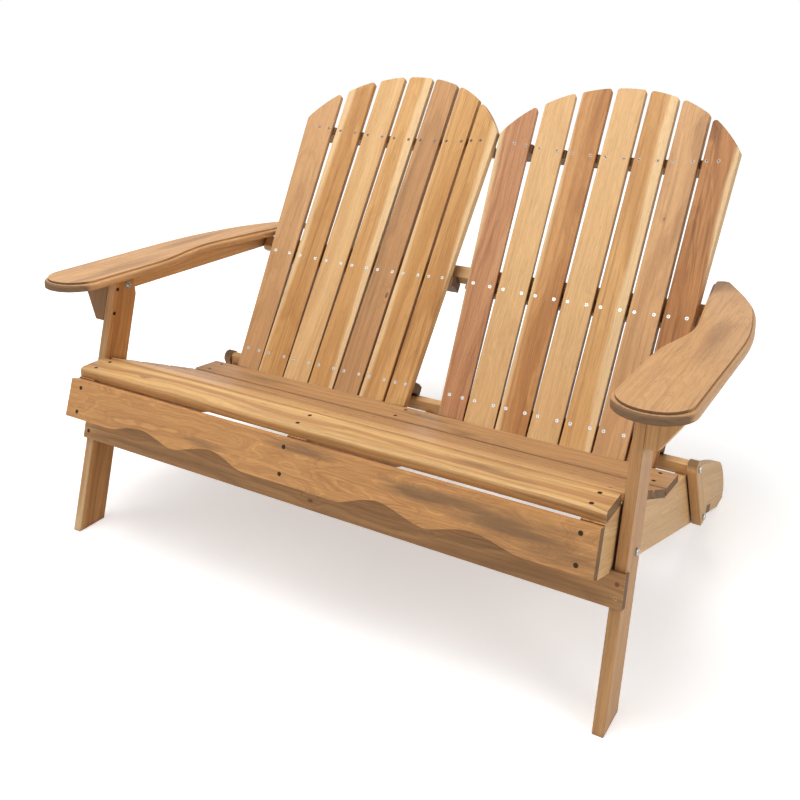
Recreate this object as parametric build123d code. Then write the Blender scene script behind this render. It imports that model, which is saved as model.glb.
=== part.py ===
"""Folding adirondack loveseat in oiled hardwood: a sloping slatted seat for two, two arched and
hollowed fan backs side by side, paddle arms, front legs that lean back, and a bolted side linkage
that lets the backs fold down over the seat.

Millimetres. X runs along the seat, Y from front to rear, Z up. While the pieces are made, Y is
measured from a line across the seat, and at the end everything moves so that the origin lies on
the floor under the middle of the whole loveseat."""

from build123d import *
from math import cos, radians, sin, sqrt
import os

# Boards
board = 20
seat_slat_thick = 16
back_slat_thick = 14
arm_thick = 19
edge_round = 2
slat_round = 3
nosing_round = 8

# Seat: five boards along X, on rails and bearers that run front to rear
seat_length = 1152
seat_height = 370
front_slat_width = 68
sloped_slat_width = 85.5
rear_slat_width = 79
seat_gap = 10
seat_step_margin = 1.5
seat_slope = 23.6
rear_slat_slope = 5.2
sloped_slats = 3
bearer_tail = 12

# Apron under the seat's front edge, with ogee hollows in its lower edge
apron_reach = 530.96
apron_height = 80.85
apron_lean = 17.8
apron_drop = 16
apron_slot = 4
apron_end_height_share = 0.9636
apron_hollow_shares = (
    (0.80, 0.9636), (0.73, 0.8753), (0.637, 0.7662), (0.548, 0.8909), (0.49, 0.9844), (0.44, 0.9273),
    (0.385, 0.813), (0.327, 0.7403), (0.268, 0.813), (0.225, 0.9273), (0.185, 1.0),
)

# Rails: long boards that fall to the floor behind, where their tails stand
rail_front_depth = 88.6
rail_heel_reach = 288.5
rail_foot_length = 52
rail_tail_height = 111.5
rail_tail_reach = 288
rail_tip_height = 22
rail_tip_reach = 347.5
rail_tip_bulge = 10
rail_back_bulge = 12

# Rear stretcher, let into the rails' lower edges
rear_stretcher_width = 38
rear_stretcher_thick = 18
rear_stretcher_run = 78

# Front legs and the stretcher across them
leg_width = 67
leg_lean = 15.3
leg_foot_reach = 537.5
leg_pivot_inset = 42.788
leg_pivot_rise = 32.109
stretcher_height = 57
stretcher_thick = 18
stretcher_proud = 7
stretcher_lap = 4.08
stretcher_overhang = 2.5
stretcher_play = 0.5
stretcher_swing = 4.5

# Arms with the rails under them
arm_front_reach = 522
arm_rise = 182.5
arm_fall = 0.84
arm_length = 789
arm_inner_inset = 18
arm_width = 134
arm_lip = 7
arm_step = 4.5
arm_lip_round = 6
arm_corner_shares = (
    (0.0, 0.0), (1.0, 0.0), (1.0, 0.57), (0.724, 0.811), (0.09, 1.008), (-0.15, 0.984),
    (0.239, 0.532), (0.0, 0.355),
)
arm_nose_round_share = 0.485
arm_tail_round_share = 0.14
arm_bend_round_shares = (1.14, 0.634, 0.444, 0.507)
arm_rail_height = 36
arm_rail_nose = 12
arm_rail_tail = 16
arm_rail_nose_round = 11
arm_rail_tail_round = 15
arm_pivot_drop = 20
arm_pivot_inset = 39.231
arm_rear_pivot_reach = 155.5
arm_gap = 0.3

# Corbel under each arm, on the leg's outer face
bracket_height = 91
bracket_foot = 22
bracket_spread = 85
bracket_corner = 6

# Swinging struts between the rails and the backs
strut_width = 34
strut_foot = 16
strut_pivot_reach = 52
strut_pivot_height = 97.5
strut_top_reach = -15
strut_top_drop = 138.5
leg_fold = 82
leg_fold_spare = 3

# Backs: each has seven fanned slats on three hollow cleats. Widths are shares of half the
# seat's length, so that the two backs fill the room between the arms
back_centre_share = 0.4913
back_lean = 34.5
back_row_reach = -28.5
back_row_drop = 99.3
back_foot = 50
mid_row = 258.5
top_row = 613
arch_top = 795
arch_radius_share = 0.559
slat_width_share = 0.1189
slat_pitch_low_share = 0.1264
slat_pitch_top_share = 0.137
side_edge_low_share = 0.4201
side_edge_top_share = 0.4819
hollow_span_share = 0.4167
hollow_low = 15.5
hollow_top = 31.4
slat_corner = 7
slat_foot_corner = 3
cleat_height = 22
cleat_rear = 44
cleat_end_cut = 10
cleat_play = 0.1
cleat_bed_margin = 6
cleat_ends = (7, 12, -16)

# Beams behind the backs
mid_beam_height = 36
beam_depth = 22
beam_height = 27
beam_chamfer = 8
beam_edge_chamfer = 5
mid_beam_play = 2
low_beam_play = 0.5

# Bolts, washers, nuts and screws
bolt_shank = 8
bolt_head = 13
bolt_head_thick = 4.5
bolt_dome = 1.5
bolt_socket = 5
bolt_crown_slope = 35
pin_play = 0.05
leg_washer = 4
strut_washer = 2.5
washer_size = 22
head_washer = 1.5
head_washer_size = 18
nut_size = 13
nut_thick = 7
nut_flats_share = 0.6
nut_dome_share = 0.84
side_play = 0.3
screw_head = 8.4
screw_shank = 4.2
screw_recess = 1.4
screw_recess_width = 1.1
screw_recess_span_share = 0.62
screw_play = 0.05
back_screw = 32
seat_screw = 38
apron_screw = 34
frame_screw = 40
beam_bolt_reach = 40
slat_screw_share = 0.317
outer_screw_shares = ((0.22, 0.73), (0.18, 0.78), (0.11, 0.47))
seat_screw_inset_shares = (0.22, 0.78)
apron_screw_shares = (0.1844, 0.7922)
stretcher_screw_shares = (0.28, 0.68)
bracket_screw_shares = (0.2, 0.78)

# Reach beyond a piece for the solids that only cut
overrun = 60

# Directions in the side view, as (Y, Z) pairs
slope_dir = (cos(radians(seat_slope)), -sin(radians(seat_slope)))
rear_dir = (cos(radians(rear_slat_slope)), -sin(radians(rear_slat_slope)))
apron_dir = (-sin(radians(apron_lean)), -cos(radians(apron_lean)))
leg_dir = (sin(radians(leg_lean)), cos(radians(leg_lean)))
arm_dir = (cos(radians(arm_fall)), -sin(radians(arm_fall)))
back_dir = (sin(radians(back_lean)), cos(radians(back_lean)))

# Levels along X
rail_outer = seat_length / 2
bearer_outer = rail_outer - board
leg_inner = rail_outer + leg_washer
leg_outer = leg_inner + board
strut_inner = rail_outer + strut_washer
strut_outer = strut_inner + board
low_beam_end = strut_inner - low_beam_play
mid_beam_end = leg_outer - mid_beam_play
arm_rail_inner = leg_outer + side_play
arm_rail_outer = arm_rail_inner + board
bearer_lines = (board / 2 - bearer_outer, -board, bearer_outer - board / 2)
arm_inner = rail_outer - arm_inner_inset

# Widths of the backs
back_centre = rail_outer * back_centre_share
arch_radius = rail_outer * arch_radius_share
slat_width = rail_outer * slat_width_share
slat_pitch_low = rail_outer * slat_pitch_low_share
slat_pitch_top = rail_outer * slat_pitch_top_share
side_edge_low = rail_outer * side_edge_low_share
side_edge_top = rail_outer * side_edge_top_share
hollow_span = rail_outer * hollow_span_share


def step(point, direction, length):
    """The point that lies a length along a direction, in the side view."""
    return (point[0] + direction[0] * length, point[1] + direction[1] * length)


def turned(direction):
    """The direction a quarter turn clockwise: below a board that runs to the rear."""
    return (direction[1], -direction[0])


def meet(p, d, q, e):
    """Where the line from p along d crosses the line from q along e."""
    cross = d[0] * e[1] - d[1] * e[0]
    run = ((q[0] - p[0]) * e[1] - (q[1] - p[1]) * e[0]) / cross
    return step(p, d, run)


def side_board(edges, x, thick):
    """A board whose outline is drawn in the side view, from x to x + thick."""
    return extrude(Plane.YZ.offset(x) * make_face(edges), thick)


def polygon(points):
    """A closed run of straight edges."""
    return Polyline(*points, close=True)


def soften(piece, radius):
    """Round the edges of the two broad faces that lie square to X."""
    faces = piece.faces().sort_by(Axis.X)
    return fillet(faces[0].edges() + faces[-1].edges(), radius)


def mirrored(piece):
    """The same piece on the other side of the seat's middle."""
    return mirror(piece, Plane.YZ)


# Points of the side view that several pieces share
apron_top = (-apron_reach, seat_height - apron_drop)
apron_back = step(apron_top, turned(apron_dir), -board)
rail_level = seat_height - board
rail_front_top = meet(apron_back, apron_dir, (0, rail_level), (1, 0))
rail_heel = (rail_heel_reach, 0)
rail_fall = rail_level - rail_front_depth
rail_reach = rail_heel_reach - rail_front_top[0]
rail_run = sqrt(rail_reach ** 2 + rail_fall ** 2)
rail_dir = (rail_reach / rail_run, -rail_fall / rail_run)
rail_front_bottom = meet(apron_back, apron_dir, rail_heel, rail_dir)
slat_front = (rail_front_top[0] + apron_slot, rail_level)
seat_break = (slat_front[0] + front_slat_width + seat_gap, rail_level)
slope_run = sloped_slats * sloped_slat_width + (sloped_slats - 1) * seat_gap + 2 * seat_step_margin
seat_knee = step(seat_break, slope_dir, slope_run)
rear_start = step(seat_knee, rear_dir, seat_gap)
seat_rear = step(rear_start, rear_dir, rear_slat_width)
leg_front = (-leg_foot_reach, 0)
stretcher_line = meet(leg_front, leg_dir, rail_heel, rail_dir)
stretcher_top_run = stretcher_line[1] / leg_dir[1] + stretcher_lap
leg_pivot = meet(
    step(leg_front, turned(leg_dir), leg_pivot_inset), leg_dir,
    step(rail_heel, turned(rail_dir), -leg_pivot_rise), rail_dir,
)
strut_pivot = (strut_pivot_reach, strut_pivot_height)
strut_top = (strut_top_reach, seat_height - strut_top_drop)
arm_tip = (-arm_front_reach, seat_height + arm_rise)
arm_under = step(arm_tip, turned(arm_dir), arm_thick)
pivot_line = step(arm_under, turned(arm_dir), arm_pivot_drop)
arm_pivot = meet(pivot_line, arm_dir, step(leg_front, turned(leg_dir), arm_pivot_inset), leg_dir)
arm_rear_pivot = meet(pivot_line, arm_dir, (arm_rear_pivot_reach, 0), (0, 1))

# Working planes: the leg's front edge, the arm's top, the apron's front and the backs' front
leg_plane = Plane(
    origin=(0, *leg_front), x_dir=(1, 0, 0), z_dir=(0, -leg_dir[1], leg_dir[0])
)
arm_plane = Plane(
    origin=(0, arm_tip[0], arm_tip[1]), x_dir=(1, 0, 0), z_dir=(0, -arm_dir[1], arm_dir[0])
)
apron_plane = Plane(
    origin=(0, apron_top[0], apron_top[1]), x_dir=(1, 0, 0), z_dir=(0, apron_dir[1], -apron_dir[0])
)
back_plane = Plane(
    origin=(0, back_row_reach, seat_height - back_row_drop),
    x_dir=(1, 0, 0),
    z_dir=(0, -back_dir[1], back_dir[0]),
)


def slab(plane, x_size, y_range, z_range):
    """A straight block in a plane's own frame, between two y values and two z values."""
    size = (x_size, y_range[1] - y_range[0], z_range[1] - z_range[0])
    middle = (0, sum(y_range) / 2, sum(z_range) / 2)
    return plane * (Pos(*middle) * Box(*size))


def screw_body(length, play=0):
    """A countersunk screw that points down from its flat head at the origin. With play it is
    the room that the screw has in the wood."""
    cone = (screw_head - screw_shank) / 2
    thin = screw_shank / 2 + play
    wide = screw_head / 2 + play
    reach = length + play
    head = Pos(0, 0, -cone / 2) * Cone(thin, wide, cone)
    shank = Pos(0, 0, -(reach + cone) / 2) * Cylinder(thin, reach - cone)
    return head + shank


def screw(length):
    """The screw with a cross recess in its head."""
    span = screw_head * screw_recess_span_share
    slot = Box(span, screw_recess_width, 2 * screw_recess)
    return screw_body(length) - slot - Rot(0, 0, 90) * slot


def rod(point, x0, x1, diameter):
    """A round bar along X between two X levels, through a point of the side view."""
    start = Plane(origin=(x0, point[0], point[1]), z_dir=(1, 0, 0))
    return extrude(start * Circle(diameter / 2), x1 - x0)


def bolt(point, face, end, way):
    """A button-headed bolt: its head stands on face, and its shank ends at end. way is the
    side that the head is on, 1 or -1."""
    out = face + way * (bolt_head_thick - bolt_dome)
    top = face + way * bolt_head_thick
    head = rod(point, face, out, bolt_head)
    crown = Plane(origin=(out, point[0], point[1]), z_dir=(way, 0, 0))
    cap = extrude(crown * Circle(bolt_head / 2), bolt_dome, taper=bolt_crown_slope)
    socket = Plane(origin=(top, point[0], point[1]), z_dir=(-way, 0, 0))
    hexagon = extrude(socket * RegularPolygon(bolt_socket / 2, 6), bolt_head_thick / 2)
    return head + cap + rod(point, face, end, bolt_shank) - hexagon


def hole(point, x0, x1):
    """What a bolt of the linkage takes out of a board."""
    return rod(point, x0, x1, bolt_shank + 2 * pin_play)


def ring(point, x0, x1, outer):
    """A washer between two X levels."""
    return rod(point, x0, x1, outer) - hole(point, x0, x1)


def nut(point, face, way):
    """A dome nut on the end of a bolt that ends halfway through it."""
    start = Plane(origin=(face, point[0], point[1]), z_dir=(way, 0, 0))
    six = extrude(start * RegularPolygon(nut_size / 2, 6), nut_thick * nut_flats_share)
    dome = extrude(start * Circle(nut_size / 2 * nut_dome_share), nut_thick)
    return six + dome - hole(point, face, face + way * nut_thick / 2)


# Seat boards, as (start on the rails' top line, direction, width, thickness)
sloped_starts = [
    step(seat_break, slope_dir, seat_step_margin + i * (sloped_slat_width + seat_gap))
    for i in range(sloped_slats)
]
seat_boards = {"seat_slat_1_front": (slat_front, (1, 0), front_slat_width, board)}
for i, start in enumerate(sloped_starts):
    seat_boards[f"seat_slat_{i + 2}"] = (start, slope_dir, sloped_slat_width, seat_slat_thick)
seat_boards[f"seat_slat_{sloped_slats + 2}_rear"] = (
    rear_start, rear_dir, rear_slat_width, seat_slat_thick
)


def seat_screw_places():
    """Where the seat's screws go in, one location for each, its z axis out of the board."""
    places = []
    for start, direction, width, thick in seat_boards.values():
        up = (-direction[1], direction[0])
        for share in seat_screw_inset_shares:
            point = step(step(start, direction, width * share), up, thick)
            for x in bearer_lines:
                face = Plane(origin=(x, *point), x_dir=(1, 0, 0), z_dir=(0, *up))
                places.append(face.location)
    return places


def seat_slat(name):
    """One board of the seat. The front one has a rounder nosing."""
    start, direction, width, thick = seat_boards[name]
    plane = Plane(origin=(0, *start), x_dir=(1, 0, 0), z_dir=(0, -direction[1], direction[0]))
    piece = Pos(0, width / 2, thick / 2) * Box(seat_length, width, thick)
    if name.endswith("front"):
        nosing = piece.edges().filter_by(Axis.X).group_by(Axis.Z)[-1].sort_by(Axis.Y)[0]
        piece = fillet(nosing, nosing_round)
        rest = piece.edges().filter_by(Axis.X).group_by(Axis.Z)[-1].sort_by(Axis.Y)[-1]
        piece = fillet(rest, slat_round)
    else:
        piece = fillet(piece.edges().filter_by(Axis.X).group_by(Axis.Z)[-1], slat_round)
    return plane * piece


# Rails
def rail_top_points():
    """The rails' top line under the seat boards, from the front to the rear board's end."""
    return [rail_front_top, seat_break, seat_knee, seat_rear]


def rail_outline():
    """A long rail: straight below, stepped on top, with a rounded tail that stands flat."""
    tail = (rail_tail_reach, rail_tail_height)
    tip = (rail_tip_reach, rail_tip_height)
    foot = (rail_heel_reach + rail_foot_length, 0)
    chord = ((seat_rear[0] + tail[0]) / 2, (seat_rear[1] + tail[1]) / 2)
    run = sqrt((tail[0] - seat_rear[0]) ** 2 + (tail[1] - seat_rear[1]) ** 2)
    up = ((seat_rear[1] - tail[1]) / run, (tail[0] - seat_rear[0]) / run)
    tail_chord = ((tail[0] + tip[0]) / 2, (tail[1] + tip[1]) / 2)
    tail_run = sqrt((tip[0] - tail[0]) ** 2 + (tip[1] - tail[1]) ** 2)
    out = ((tail[1] - tip[1]) / tail_run, (tip[0] - tail[0]) / tail_run)
    return (
        Polyline(*rail_top_points())
        + ThreePointArc(seat_rear, step(chord, up, rail_back_bulge), tail)
        + ThreePointArc(tail, step(tail_chord, out, rail_tip_bulge), tip)
        + Polyline(tip, foot, rail_heel, rail_front_bottom, rail_front_top)
    )


def bearer_outline():
    """A bearer: the front part of a rail, cut square behind the seat's rear board."""
    top_end = step(seat_rear, rear_dir, bearer_tail)
    square = turned(rail_dir)
    bottom_end = meet(top_end, square, rail_heel, rail_dir)
    points = [rail_front_top, seat_break, seat_knee, top_end, bottom_end, rail_front_bottom]
    return polygon(points)


def rear_stretcher():
    """The flat board let into the lower edges of the three long rails."""
    start = step(rail_heel, rail_dir, -rear_stretcher_run - rear_stretcher_width)
    plane = Plane(origin=(0, *start), x_dir=(1, 0, 0), z_dir=(0, -rail_dir[1], rail_dir[0]))
    return slab(plane, seat_length, (0, rear_stretcher_width), (0, rear_stretcher_thick))


# Apron
def apron():
    """The front board: flat at its ends, two ogee hollows a side, a deeper middle."""
    half = seat_length / 2
    hollow = [(half * x, -apron_height * y) for x, y in apron_hollow_shares]
    other = [(-x, y) for x, y in reversed(hollow)]
    low = -apron_height * apron_end_height_share
    right = Spline(*hollow, tangents=[(-1, 0), (-1, 0)])
    left = Spline(*other, tangents=[(-1, 0), (-1, 0)])
    edges = (
        Polyline(other[-1], (-half, low), (-half, 0), (half, 0), (half, low), hollow[0])
        + right
        + Line(hollow[-1], other[0])
        + left
    )
    return apron_plane * extrude(make_face(edges), -board)


def apron_screw_places():
    """Two screws into the end of each bearer."""
    return [
        apron_plane.location * Pos(x, -apron_height * share, 0)
        for x in bearer_lines
        for share in apron_screw_shares
    ]


# Front legs
def leg_outline():
    """A front leg in the side view. Its top is cut to the arm and rounded about the arm's
    bolt behind, so that it can turn under the arm."""
    rear = step(leg_front, turned(leg_dir), leg_width)
    heel = meet(rear, leg_dir, leg_front, (1, 0))
    top_line = step(arm_under, turned(arm_dir), arm_gap)
    top_front = meet(leg_front, leg_dir, top_line, arm_dir)
    radius = arm_pivot_drop - arm_gap
    first = step(arm_pivot, turned(arm_dir), -radius)
    turn = radians(90 - leg_fold - leg_fold_spare)
    half_turn = radians((90 + 90 - leg_fold - leg_fold_spare) / 2)
    last = step(arm_pivot, (cos(turn), sin(turn)), radius)
    middle = step(arm_pivot, (cos(half_turn), sin(half_turn)), radius)
    shoulder = meet(last, (-sin(turn), cos(turn)), rear, leg_dir)
    return (
        Polyline(first, top_front, leg_front, heel, shoulder, last)
        + ThreePointArc(last, middle, first)
    )


def stretcher():
    """The board across the legs' front edges, in shallow notches."""
    top = stretcher_top_run
    x_size = 2 * (leg_outer + stretcher_overhang)
    depth = (stretcher_proud - stretcher_thick, stretcher_proud)
    return slab(leg_plane, x_size, (top - stretcher_height, top), depth)


def stretcher_room():
    """The notch that the stretcher needs in the rails above it, to rest there and swing out."""
    top = stretcher_top_run + stretcher_play
    rear = stretcher_proud - stretcher_thick - stretcher_swing
    depth = (rear, stretcher_proud + stretcher_play)
    return slab(leg_plane, 4 * leg_outer, (top - stretcher_height, top), depth)


def stretcher_screw_places(way):
    """Two screws into the front edge of the leg on one side."""
    low = stretcher_top_run - stretcher_height
    middle = way * (leg_outer - board / 2)
    return [
        leg_plane.location * Pos(middle, low + stretcher_height * share, stretcher_proud)
        for share in stretcher_screw_shares
    ]


# Where the arm's underside crosses the legs' front edge, measured up that edge
leg_top_run = (arm_pivot[1] + arm_pivot_drop) / leg_dir[1]


def bracket():
    """The corbel beside the right leg: a board in the plane of the leg's front edge, wide
    under the arm and narrow at its foot."""
    low = leg_top_run - bracket_height
    foot = leg_outer + bracket_foot
    points = [
        (leg_outer, low), (foot, low), (leg_outer + bracket_spread, leg_top_run),
        (leg_outer + bracket_spread, leg_top_run + overrun), (leg_outer, leg_top_run + overrun),
    ]
    outline = make_face(polygon(points))
    corner = outline.vertices().sort_by(Axis.Y)[:2].sort_by(Axis.X)[-1]
    piece = leg_plane * extrude(fillet(corner, bracket_corner), -board)
    above = slab(arm_plane, 4 * leg_outer, (-overrun, arm_length), (-arm_thick - arm_gap, overrun * 2))
    return piece - above


def bracket_screw_places(way):
    """Two screws from the inner face of the leg on one side into its corbel."""
    low = leg_top_run - bracket_height
    places = []
    for share in bracket_screw_shares:
        along = step(leg_front, leg_dir, low + bracket_height * share)
        point = step(along, turned(leg_dir), board / 2)
        face = Plane(origin=(way * leg_inner, *point), x_dir=(0, 1, 0), z_dir=(-way, 0, 0))
        places.append(face.location)
    return places


def leg():
    """The right front leg with its holes and the notch for the stretcher."""
    piece = soften(side_board(leg_outline(), leg_inner, board), edge_round)
    piece -= stretcher()
    for point in (leg_pivot, arm_pivot):
        piece -= hole(point, leg_inner - overrun, leg_outer + overrun)
    return piece


# Arms
def arm_outline():
    """The right arm from above, in the arm's own plane: a round nose, a straight front part,
    and a swept rear that narrows from both sides. Every corner is a tangent arc."""
    corners = [(arm_inner + arm_width * x, arm_length * y) for x, y in arm_corner_shares]
    nose = arm_width * arm_nose_round_share
    tail = arm_width * arm_tail_round_share
    bends = [arm_length * share for share in arm_bend_round_shares]
    radii = [nose, nose, bends[0], bends[1], tail, tail, bends[2], bends[3]]
    return make_face(FilletPolyline(*corners, radius=radii, close=True))


def arm():
    """The right arm: a rounded lip runs round it, a small step below the top face."""
    outline = arm_outline()
    low = Pos(0, 0, -arm_thick) * extrude(outline, arm_thick - arm_step)
    low = fillet(low.faces().sort_by(Axis.Z)[-1].edges(), arm_lip_round)
    top = Pos(0, 0, -arm_thick) * extrude(offset(outline, -arm_lip), arm_thick)
    return arm_plane * (low + top)


def arm_rail():
    """The board under the right arm that carries its two bolts."""
    down = turned(arm_dir)
    front_top = step(step(arm_pivot, arm_dir, -arm_rail_nose), down, -arm_pivot_drop)
    rear_top = step(step(arm_rear_pivot, arm_dir, arm_rail_tail), down, -arm_pivot_drop)
    front_low = step(front_top, down, arm_rail_height)
    rear_low = step(rear_top, down, arm_rail_height)
    piece = side_board(polygon([front_top, rear_top, rear_low, front_low]), arm_rail_inner, board)
    low_edges = piece.edges().filter_by(Axis.X).sort_by(Axis.Z)[:2].sort_by(Axis.Y)
    piece = fillet(low_edges[0], arm_rail_nose_round)
    tail_edge = piece.edges().filter_by(Axis.X).group_by(Axis.Y)[-1].sort_by(Axis.Z)[0]
    piece = fillet(tail_edge, arm_rail_tail_round)
    for point in (arm_pivot, arm_rear_pivot):
        piece -= hole(point, arm_rail_inner - overrun, arm_rail_outer + overrun)
    return piece


# Struts
def strut():
    """The right strut: a round top on the backs' bolt, a level foot below the rail's bolt."""
    run = (strut_top[0] - strut_pivot[0], strut_top[1] - strut_pivot[1])
    length = sqrt(run[0] ** 2 + run[1] ** 2)
    up = (run[0] / length, run[1] / length)
    side = turned(up)
    half = strut_width / 2
    floor = (0, strut_pivot[1] - strut_foot)
    rear_top = step(strut_top, side, half)
    front_top = step(strut_top, side, -half)
    rear_foot = meet(rear_top, up, floor, (1, 0))
    front_foot = meet(front_top, up, floor, (1, 0))
    edges = (
        Polyline(rear_top, rear_foot, front_foot, front_top)
        + ThreePointArc(front_top, step(strut_top, up, half), rear_top)
    )
    piece = soften(side_board(edges, strut_inner, board), edge_round)
    for point in (strut_pivot, strut_top):
        piece -= hole(point, strut_inner - overrun, strut_outer + overrun)
    return piece


# One back, in its own frame: x across from its middle, y up along the slats from the lowest
# screws, z out of the middle slat's front face
def blend(low, top, y):
    """A size that changes evenly from the lowest row of screws to the top row."""
    return low + (top - low) * y / top_row


def hollow(x, y):
    """How far the hollow front face stands forward at a distance from the middle."""
    return blend(hollow_low, hollow_top, y) * (x / hollow_span) ** 2


def slat_edges(i, y):
    """The left and right edges of a slat, at a height along the back. Slats count from -3 to 3."""
    pitch = blend(slat_pitch_low, slat_pitch_top, y)
    outer = blend(side_edge_low, side_edge_top, y)
    left = pitch * i - slat_width / 2
    right = pitch * i + slat_width / 2
    if i == -3:
        left = -outer
    if i == 3:
        right = outer
    return left, right


def slat_plane(i):
    """The plane of a slat's front face."""
    low_x = sum(slat_edges(i, 0)) / 2
    top_x = sum(slat_edges(i, top_row)) / 2
    low_z = hollow(low_x, 0)
    top_z = hollow(top_x, top_row)
    slope = (2 * low_z / low_x + 2 * top_z / top_x) / 2 if i else 0
    across = Vector(1, 0, slope)
    along = Vector(top_x - low_x, top_row, top_z - low_z)
    return Plane(origin=(low_x, 0, low_z), x_dir=across, z_dir=across.cross(along))


def on_slat(plane, x, y):
    """A place of the back's front view, moved straight back onto a slat's plane."""
    normal = plane.z_dir
    base = plane.origin
    z = base.Z - (normal.X * (x - base.X) + normal.Y * (y - base.Y)) / normal.Z
    return plane.to_local_coords(Vector(x, y, z))


def arch(x):
    """The height of the arched top at a distance from the back's middle."""
    return arch_top - arch_radius + sqrt(arch_radius ** 2 - x ** 2)


def arch_corner(i, side):
    """Where a slat's edge meets the arch. side is 0 for the left edge and 1 for the right."""
    y = arch_top
    for _ in range(30):
        y = arch(slat_edges(i, y)[side])
    return slat_edges(i, y)[side], y


def slat_screw_spots(i):
    """The screws of a slat in the back's front view, two for each cleat."""
    spots = []
    for row, y in enumerate((0, mid_row, top_row)):
        left, right = slat_edges(i, y)
        if abs(i) < 3:
            middle = (left + right) / 2
            apart = slat_screw_share * slat_width
            spots += [(middle - apart, y), (middle + apart, y)]
        else:
            inner, outer = (left, right) if i > 0 else (right, left)
            spots += [(inner + share * (outer - inner), y) for share in outer_screw_shares[row]]
    return spots


def slat_screw_places(i):
    """The same screws as locations on the slat's plane."""
    plane = slat_plane(i)
    places = []
    for x, y in slat_screw_spots(i):
        local = on_slat(plane, x, y)
        places.append(plane.location * Pos(local.X, local.Y, 0))
    return places


def back_slat(i):
    """One slat: straight sides that fan, a top cut to the arch, eased corners and edges."""
    plane = slat_plane(i)
    left_top = arch_corner(i, 0)
    right_top = arch_corner(i, 1)
    middle = (left_top[0] + right_top[0]) / 2
    foot_left, foot_right = slat_edges(i, -back_foot)
    spots = [(foot_left, -back_foot), (foot_right, -back_foot), right_top, (middle, arch(middle)), left_top]
    a, b, c, d, e = [on_slat(plane, *spot) for spot in spots]
    edges = Polyline(*[(p.X, p.Y) for p in (e, a, b, c)]) + ThreePointArc(
        *[(p.X, p.Y) for p in (c, d, e)]
    )
    outline = make_face(edges)
    ends = outline.vertices().sort_by(Axis.Y)
    outline = fillet(ends[-2:], slat_corner)
    outline = fillet(outline.vertices().sort_by(Axis.Y)[:2], slat_foot_corner)
    piece = extrude(outline, -back_slat_thick)
    piece = fillet(piece.faces().sort_by(Axis.Z)[-1].edges(), edge_round)
    return plane * piece


def slat_beds(y):
    """The room of the slats at a cleat's height, and all that lies before them. Each block is
    a little wider than its slat, so that no ridge of the cleat stands between two slats."""
    blocks = []
    for i in range(-3, 4):
        plane = slat_plane(i)
        left, right = slat_edges(i, y)
        if i == -3:
            left -= overrun
        if i == 3:
            right += overrun
        first = on_slat(plane, left, y)
        last = on_slat(plane, right, y)
        middle = (first + last) / 2
        spread = last.X - first.X + 2 * cleat_bed_margin
        rear = back_slat_thick + cleat_play
        block = Box(spread, 4 * cleat_height, 4 * rear)
        blocks.append(plane * (Pos(middle.X, middle.Y, rear) * block))
    return blocks


def cleat(row):
    """A cleat: its front follows the slats, its rear is straight and its ends are raked."""
    y = (0, mid_row, top_row)[row]
    end = blend(side_edge_low, side_edge_top, y) + cleat_ends[row]
    front = hollow(end, y)
    raked = end - cleat_end_cut
    widest = front - back_slat_thick - cleat_end_cut
    outline = polygon([
        (-raked, front), (raked, front), (end, widest), (raked, -cleat_rear),
        (-raked, -cleat_rear), (-end, widest),
    ])
    flat = Plane(origin=(0, y + cleat_height / 2, 0), x_dir=(1, 0, 0), z_dir=(0, -1, 0))
    piece = extrude(flat * make_face(outline), amount=cleat_height, dir=(0, -1, 0))
    for block in slat_beds(y):
        piece -= block
    return piece


# Beams, in the frame of the backs
def mid_beam():
    """The beam on the middle cleats, behind the slats. The arms' rear bolts turn in its ends."""
    low = mid_row + cleat_height / 2
    depth = (-back_slat_thick - beam_depth, -back_slat_thick)
    piece = slab(Plane.XY, 2 * mid_beam_end, (low, low + mid_beam_height), depth)
    edge = piece.edges().filter_by(Axis.X).sort_by(Axis.Y)[:2].sort_by(Axis.Z)[-1]
    room = beam_bolt_room(arm_rear_pivot, mid_beam_end)
    return back_plane * chamfer(edge, beam_chamfer) - room - mirrored(room)


def beam_bolt_room(point, end):
    """What a bolt takes out of a beam's end."""
    return hole(point, end - beam_bolt_reach - pin_play, end + overrun)


def low_beam():
    """The beam that the struts carry: upright, its rear top edge cut to the cleats' lower face."""
    piece = Pos(0, *strut_top) * Box(2 * low_beam_end, beam_depth, beam_height)
    edge = piece.edges().filter_by(Axis.X).group_by(Axis.Z)[-1].sort_by(Axis.Y)[0]
    piece = chamfer(edge, beam_edge_chamfer)
    tall = (-cleat_height / 2, top_row)
    piece -= slab(back_plane, 4 * low_beam_end, tall, (-4 * overrun, 4 * overrun))
    room = beam_bolt_room(strut_top, low_beam_end)
    return piece - room - mirrored(room)


# Everything, as name and solids
nodes = {}


def long_rail(x):
    """A long rail with its notches for the rear stretcher and the front stretcher."""
    return side_board(rail_outline(), x, board) - rear_stretcher() - stretcher_room()


def less_screws(piece, places, length):
    """A piece with the room that its screws take."""
    body = screw_body(length, screw_play)
    for place in places:
        piece -= place * body
    return piece


def place_on(shape, places):
    """Copies of a shape at several locations."""
    return [place * shape for place in places]


def near_x(places, x):
    """The locations whose X is that of one bearer."""
    return [place for place in places if abs(place.position.X - x) < board]


seat_places = seat_screw_places()
apron_places = apron_screw_places()


def bearer(x):
    """A bearer with the notch for the front stretcher and the room for its screws. x is the
    level of its left face."""
    piece = side_board(bearer_outline(), x, board) - stretcher_room()
    for places, length in ((seat_places, seat_screw), (apron_places, apron_screw)):
        piece = less_screws(piece, near_x(places, x + board / 2), length)
    return piece


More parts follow.
